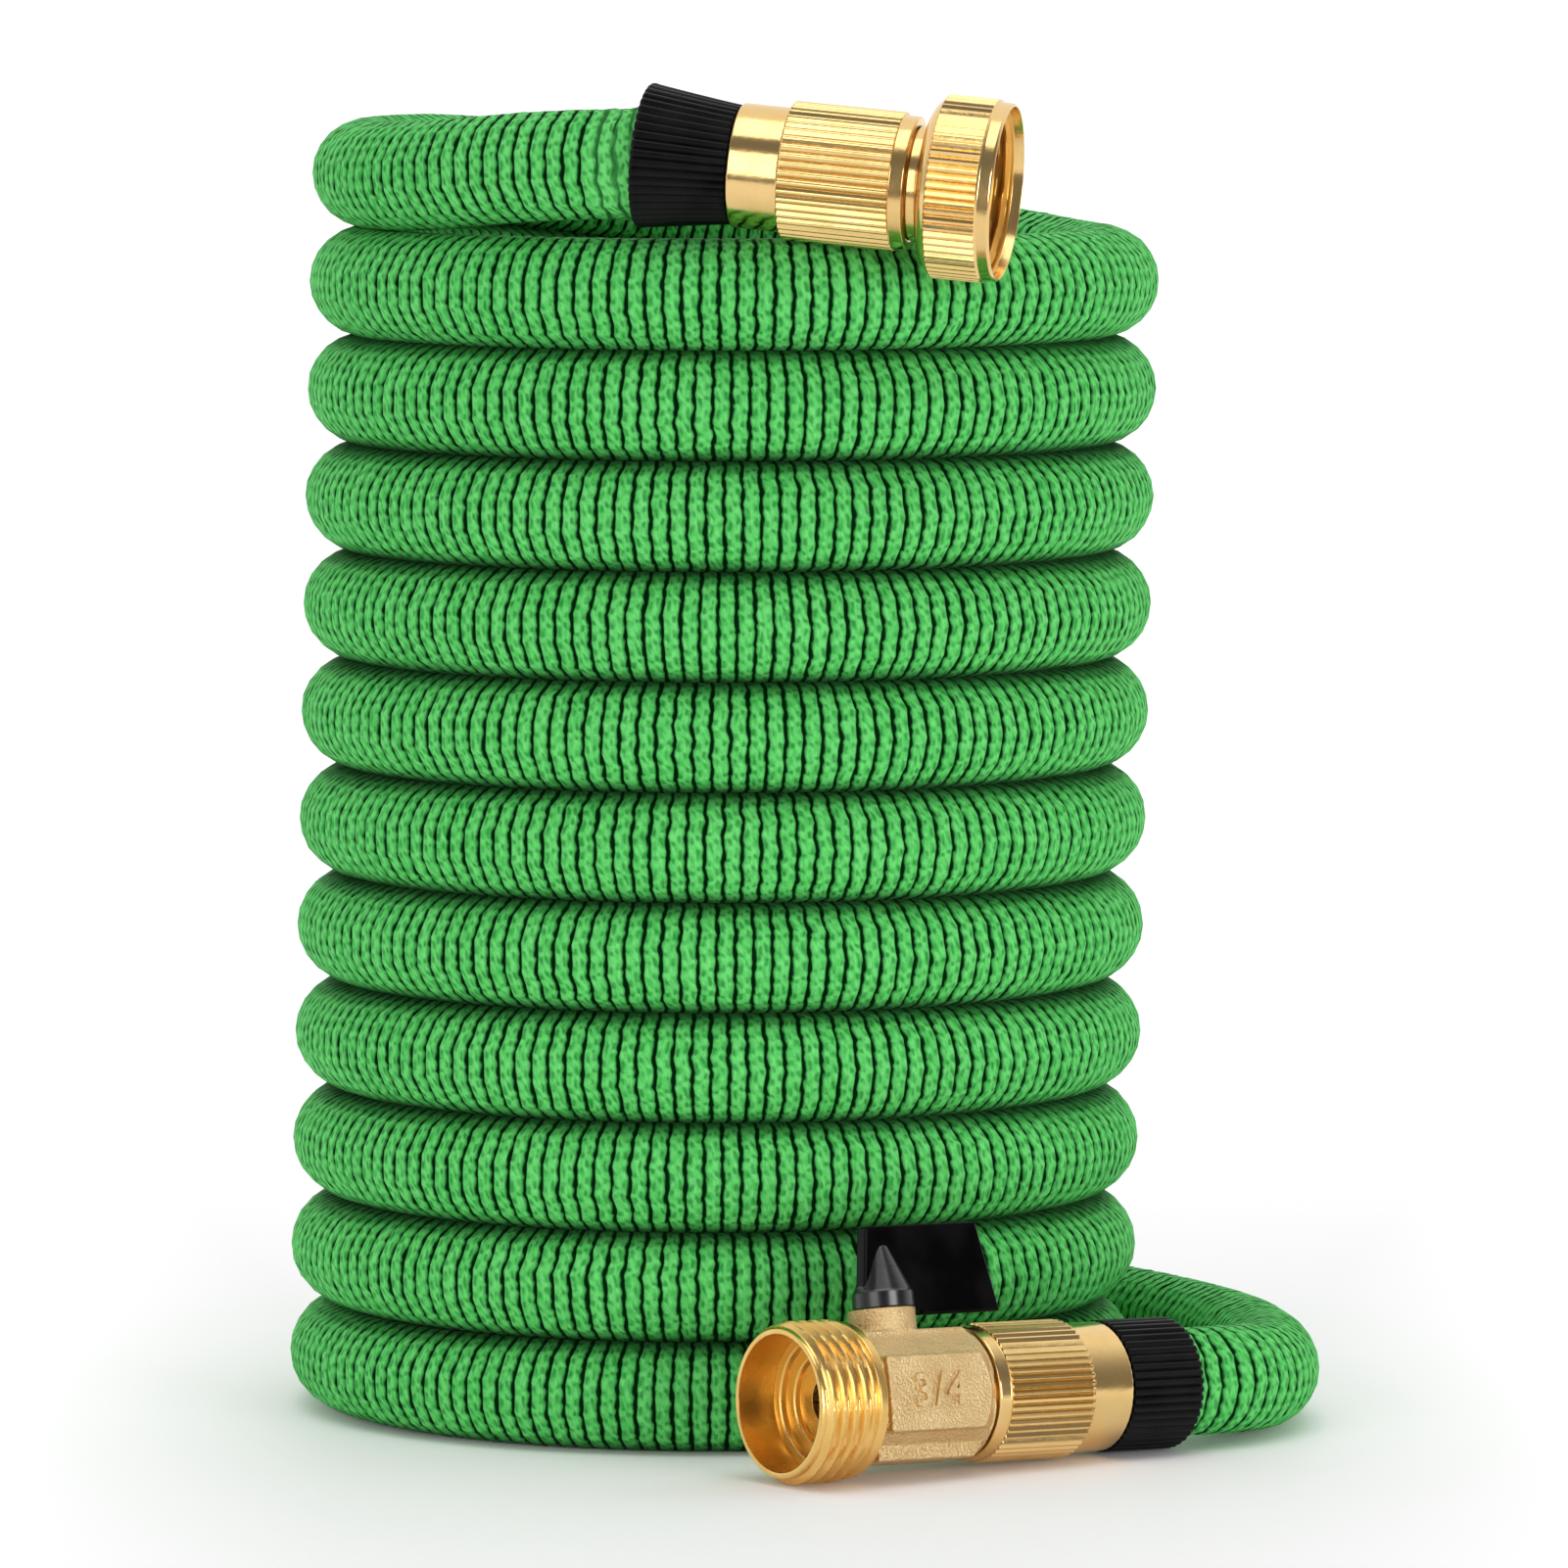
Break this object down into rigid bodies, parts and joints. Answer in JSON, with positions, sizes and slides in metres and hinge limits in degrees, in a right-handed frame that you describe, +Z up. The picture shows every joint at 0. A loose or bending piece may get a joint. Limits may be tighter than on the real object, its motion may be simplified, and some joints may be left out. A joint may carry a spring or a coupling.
{
  "type": "garden hose",
  "caption": "Expandable woven garden hose in a free-standing stacked coil, with a swivel tap connector and a lever shut-off valve.",
  "frame": {"origin": "middle of the whole part's footprint, on the surface it stands on", "axes": "+Z up along the stack of turns, -Y towards the side where the shut-off valve and the tap connector lie"},
  "size_m": [0.1779, 0.2072, 0.2303],
  "materials": {
    "hose_weave": "bright green woven polyester jacket with ribs round the hose",
    "machined_brass": "bright turned and fluted brass",
    "cast_brass": "fine sand-textured satin brass with machined threads",
    "grip_rubber": "black rubber with fine lengthwise ribs",
    "washer_rubber": "black sealing washer",
    "lever_plastic": "glossy black moulded plastic"
  },
  "bodies": {
    "hose": {"hose_coil": "hose_weave", "hose_tap_tail": "hose_weave", "hose_valve_tail": "hose_weave", "tap_grip": "grip_rubber", "tap_clamp_nut": "machined_brass", "tap_tailpiece": "machined_brass", "valve_grip": "grip_rubber", "valve_clamp_nut": "machined_brass", "valve_body": "cast_brass"},
    "swivel_nut": {"tap_swivel_nut": "machined_brass", "tap_washer": "washer_rubber"},
    "lever": {"valve_lever": "lever_plastic", "valve_spindle": "machined_brass", "valve_ball": "machined_brass"}
  },
  "joints": [
    {"name": "swivel_nut_turn", "type": "hinge", "parent": "hose", "child": "swivel_nut", "pos_m": [0.03404, -0.06036, 0.21222], "axis": [0.9754, -0.1985, -0.0958], "continuous": true},
    {"name": "lever_turn", "type": "hinge", "parent": "hose", "child": "lever", "pos_m": [0.0148, -0.08011, 0.01307], "axis": [0.0839, -0.1745, -0.9811], "range_deg": [0, 90]}
  ]
}
